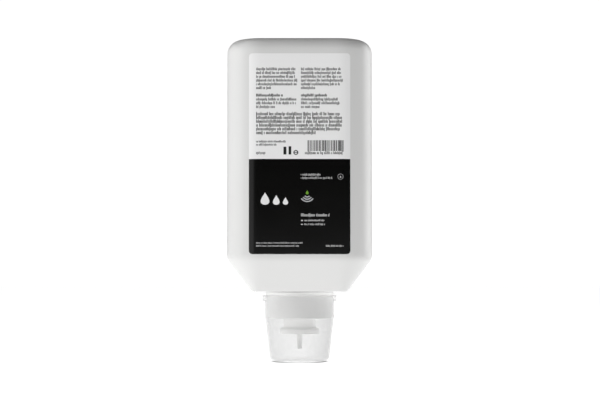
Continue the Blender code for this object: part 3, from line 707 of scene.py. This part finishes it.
edge = add(tree, "LayerWeight", {"Blend": 0.25}).outputs["Facing"]
cap_height = add(tree, "SeparateXYZ", links={0: place}).outputs["Z"]
near_foot = {"From Min": FOOT_LOW, "From Max": FOOT_HIGH, "To Min": VEIL_FOOT, "To Max": VEIL_EDGE}
edge_veil = add(tree, "MapRange", near_foot, {"Value": cap_height}).outputs["Result"]
veil = add(tree, "MapRange", {"To Min": VEIL_FACING}, {"Value": edge, "To Max": edge_veil}).outputs["Result"]
tree.links.new(veil, shader.inputs["Alpha"])
dress(cap, clear_pp, "cap", "cap_clear", "protective_cap")

# %% [markdown]
# ## Pieces inside the bottle and the pump
# The soap, the gasket, the pump's cylinder, its piston and its two valves are hidden in the closed pack.
# Their CAD shapes stay, with the finish that each would show if the pack were cut open.

# %% Finishes of the hidden pieces
soap = moulded("creamy_liquid_soap", "#EFE9D8", "#EAE2CD", 40, 12, 0.01, 0.12, 0.02, {"IOR": 1.38})
foam = moulded("closed_cell_foam", "#C4C8CC", "#B7BCC1", 2, 0.6, 0.08, 0.80, 0.05)
milky_pp = moulded("natural_pp", "#DDE1E2", "#D6DBDC", 18, 4, 0.008, 0.32, 0.03, {"IOR": 1.49})
silicone = moulded("moulded_silicone", "#E3DCCB", "#DCD4C0", 5, 2, 0.01, 0.55, 0.04, {"IOR": 1.42})
ldpe = moulded("natural_ldpe", "#E4E8E8", "#DDE2E2", 10, 3, 0.01, 0.45, 0.03, {"IOR": 1.51})
hidden = {
    "liquid_soap": soap,
    "neck_gasket": foam,
    "pump_cylinder": milky_pp,
    "inlet_valve": silicone,
    "outlet_valve": silicone,
    "plunger_piston": ldpe,
}
for name, finish in hidden.items():
    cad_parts[name].material_slots[0].material = finish
    print(name, "in", finish.name)

# %% [markdown]
# ## Floor, light and camera
# The pack stands on a white table that is lit from within, as photographers use for white packs: the table
# throws light up at the shoulder and the cap. It glows more in front of the pack than behind it. The contact
# shadow is painted into the glow: in a narrow arc under the front of the cap the glow is turned down. Tall
# softboxes on both sides and behind and a small one above do the rest. The surround is seen as white but
# gives no light.

# %% Floor
FLOOR_HALF = 4.0
# The table's glow in front of and behind the pack, and the lowest glow of the painted contact shadow
FLOOR_GLOW, BACK_GLOW, PAINTED_SHADOW_GLOW = 1.28, 1.00, 0.10
PAINTED_SHADOW_R, PAINTED_SHADOW_WIDTH, PAINTED_SHADOW_BACK = 17.0 * MM, 7.0 * MM, 8.0 * MM
GLOW_TURN = 30 * MM
floor_mesh = bpy.data.meshes.new("floor")
floor_corners = [(-FLOOR_HALF, -FLOOR_HALF, 0), (FLOOR_HALF, -FLOOR_HALF, 0), (FLOOR_HALF, FLOOR_HALF, 0)]
floor_mesh.from_pydata(floor_corners + [(-FLOOR_HALF, FLOOR_HALF, 0)], [], [(0, 1, 2, 3)])
floor = bpy.data.objects.new("floor", floor_mesh)
bpy.context.scene.collection.objects.link(floor)
table_look, tree, shader, place = start_material("lit_white_table", {"Roughness": 0.9, "IOR": 1.2})
dust = add(tree, "TexNoise", {"Scale": 3.0}, {"Vector": place}).outputs["Fac"]
white = add(tree, "Mix", {"data_type": "RGBA", 6: tone("#959595"), 7: tone("#909090")}, {0: dust}).outputs[2]
tree.links.new(white, shader.inputs["Base Color"])
shader.inputs["Emission Color"].default_value = (1, 1, 1, 1)
shader.inputs["Emission Strength"].default_value = FLOOR_GLOW
parts = add(tree, "SeparateXYZ", links={0: place}).outputs
back = {"From Min": -GLOW_TURN, "From Max": GLOW_TURN, "To Min": FLOOR_GLOW, "To Max": BACK_GLOW}
table = add(tree, "MapRange", back, {"Value": parts["Y"]}).outputs["Result"]
flat = add(tree, "CombineXYZ", links={"X": parts["X"], "Y": parts["Y"]}).outputs["Vector"]
away = add(tree, "VectorMath", {"operation": "LENGTH"}, {0: flat}).outputs["Value"]
# Painted contact shadow: the glow is turned down in a ring about the cap's foot, in front of the axis only
off_painted_shadow = add(tree, "Math", {"operation": "SUBTRACT", 1: PAINTED_SHADOW_R}, {0: away}).outputs[0]
off_painted_shadow = add(tree, "Math", {"operation": "ABSOLUTE"}, {0: off_painted_shadow}).outputs[0]
behind = {"From Max": PAINTED_SHADOW_BACK, "To Min": PAINTED_SHADOW_GLOW, "To Max": BACK_GLOW}
painted_shadow_glow = add(tree, "MapRange", behind, {"Value": parts["Y"]}).outputs["Result"]
fade = {"interpolation_type": "SMOOTHSTEP", "From Max": PAINTED_SHADOW_WIDTH}
glow = add(tree, "MapRange", fade, {"Value": off_painted_shadow, "To Min": painted_shadow_glow, "To Max": table}).outputs["Result"]
tree.links.new(glow, shader.inputs["Emission Strength"])
floor_mesh.materials.append(table_look)
floor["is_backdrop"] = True

# %% Surround
SURROUND_LIGHT, SURROUND_SEEN = 0.0, 1.05
world = bpy.data.worlds.new("studio")
world.use_nodes = True
bpy.context.scene.world = world
world_tree = world.node_tree
backdrop = world_tree.nodes["Background"]
backdrop.inputs["Color"].default_value = (1, 1, 1, 1)
seen = add(world_tree, "LightPath").outputs["Is Camera Ray"]
strengths = {"To Min": SURROUND_LIGHT, "To Max": SURROUND_SEEN}
level = add(world_tree, "MapRange", strengths, {"Value": seen}).outputs["Result"]
world_tree.links.new(level, backdrop.inputs["Strength"])
bpy.context.scene.view_settings.view_transform = "Standard"

# %% Softboxes
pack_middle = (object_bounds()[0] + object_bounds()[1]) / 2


def softbox(name, azimuth, elevation, distance, size, power):
    """A rectangular light aimed at the pack's middle, from an azimuth: 0 in front, 90 on the right."""
    a, e = np.radians(azimuth), np.radians(elevation)
    away = pack_middle.copy()
    away.x, away.y, away.z = np.sin(a) * np.cos(e), -np.cos(a) * np.cos(e), np.sin(e)
    lamp = bpy.data.lights.new(name, "AREA")
    lamp.shape = "RECTANGLE"
    lamp.size, lamp.size_y = size
    lamp.energy = power
    made = bpy.data.objects.new(name, lamp)
    made.location = pack_middle + away * distance
    made.rotation_euler = away.to_track_quat("Z", "Y").to_euler()
    made.visible_camera = False
    bpy.context.scene.collection.objects.link(made)


STRIP_SIZE, STRIP_AWAY, STRIP_TILT = (0.5, 1.5), 1.4, 8
strips = {-135: 1.8, -105: 4.0, -75: 5.6, -35: 2.0, 108: 5.3, 128: 5.4, 150: 1.4}
for azimuth, power in strips.items():
    softbox(f"strip_{azimuth}", azimuth, STRIP_TILT, STRIP_AWAY, STRIP_SIZE, power)
softbox("top_light", -60, 55, STRIP_AWAY, (0.9, 0.9), 4.5)

# %% Camera: one metre in front of the pack's axis, at the height of the shoulder, tilted up a little
LENS, SHIFT, CAMERA_AT, TILT = 83.4, (0.0007, 0.0504), (0.0, -1.0, 0.068), 1.5
camera_data = bpy.data.cameras.new("camera")
camera_data.lens = LENS
camera_data.sensor_width = 36.0
camera_data.shift_x, camera_data.shift_y = SHIFT
camera_data.clip_start, camera_data.clip_end = 0.05, 50.0
camera = bpy.data.objects.new("camera", camera_data)
camera.location = CAMERA_AT
camera.rotation_euler = (np.radians(90 + TILT), 0.0, 0.0)
bpy.context.scene.collection.objects.link(camera)
bpy.context.scene.camera = camera
